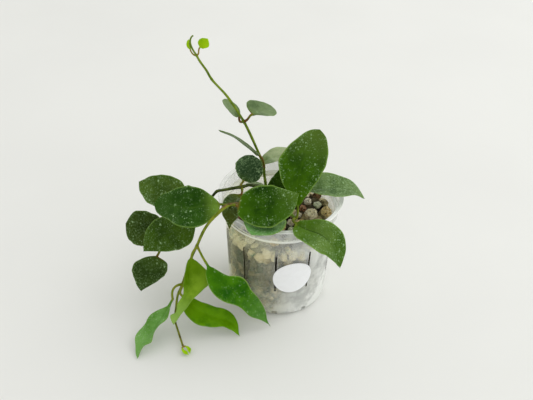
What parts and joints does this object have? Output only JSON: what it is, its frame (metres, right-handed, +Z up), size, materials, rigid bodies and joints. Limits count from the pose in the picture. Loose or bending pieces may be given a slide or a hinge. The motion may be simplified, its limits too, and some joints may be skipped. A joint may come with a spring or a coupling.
{
  "type": "potted hoya plant",
  "caption": "Young trailing hoya in a small clear slotted nursery pot of chunky grit, with speckled waxy leaves, an upright shoot and a shoot that hangs over the rim.",
  "frame": {"origin": "middle of the pot's flat underside, on the surface it stands on", "axes": "+Z up, along the pot's axis; -Y towards the side with the blank sticker; the trailing shoots hang on the -X side"},
  "size_m": [0.1538, 0.1146, 0.1734],
  "materials": {
    "pot_plastic": "clear, slightly frosted thin plastic",
    "sticker_paper": "blank matt white paper label",
    "grit": "rough tan, brown and grey grit and clay stones",
    "stem": "smooth olive green stem, browner and corky low down",
    "leaf": "thick waxy dark green leaf with silver flecks and a satin sheen",
    "young_leaf": "thin fresh yellow-green leaf with few flecks and a satin sheen",
    "bud": "bright lime green new leaf, satin"
  },
  "bodies": {
    "root": {"growing_medium": "grit", "label_sticker": "sticker_paper", "leaf_left_back": "leaf", "leaf_left_end_low": "leaf", "leaf_left_end_round": "leaf", "leaf_left_flat": "leaf", "leaf_left_front": "leaf", "leaf_left_over_rim": "leaf", "leaf_left_round": "leaf", "leaf_right_back": "leaf", "leaf_right_drooping": "leaf", "leaf_right_shaded": "leaf", "leaf_right_tall": "leaf", "leaf_trailing_end_left": "young_leaf", "leaf_trailing_end_right": "young_leaf", "leaf_trailing_front": "leaf", "leaf_trailing_on_rim": "leaf", "leaf_trailing_out": "leaf", "leaf_trailing_twisted": "young_leaf", "leaf_trailing_wavy": "young_leaf", "leaf_upright_edge_on": "leaf", "leaf_upright_middle_left": "leaf", "leaf_upright_middle_right": "leaf", "leaf_upright_pale": "leaf", "leaflet_end_left": "bud", "leaflet_end_right": "bud", "leaflet_top_left": "bud", "leaflet_top_right": "bud", "pebble_01": "grit", "pebble_02": "grit", "pebble_03": "grit", "pebble_04": "grit", "pebble_05": "grit", "pebble_06": "grit", "pebble_07": "grit", "pebble_08": "grit", "pebble_09": "grit", "pebble_10": "grit", "pebble_11": "grit", "pebble_12": "grit", "pebble_13": "grit", "pebble_14": "grit", "pebble_15": "grit", "pebble_16": "grit", "pebble_17": "grit", "pebble_18": "grit", "pebble_19": "grit", "pebble_20": "grit", "pebble_21": "grit", "pebble_22": "grit", "pebble_23": "grit", "pebble_24": "grit", "pebble_25": "grit", "pot": "pot_plastic", "stem_left": "stem", "stem_right": "stem", "stem_trailing": "stem", "stem_upright": "stem"}
  },
  "joints": []
}
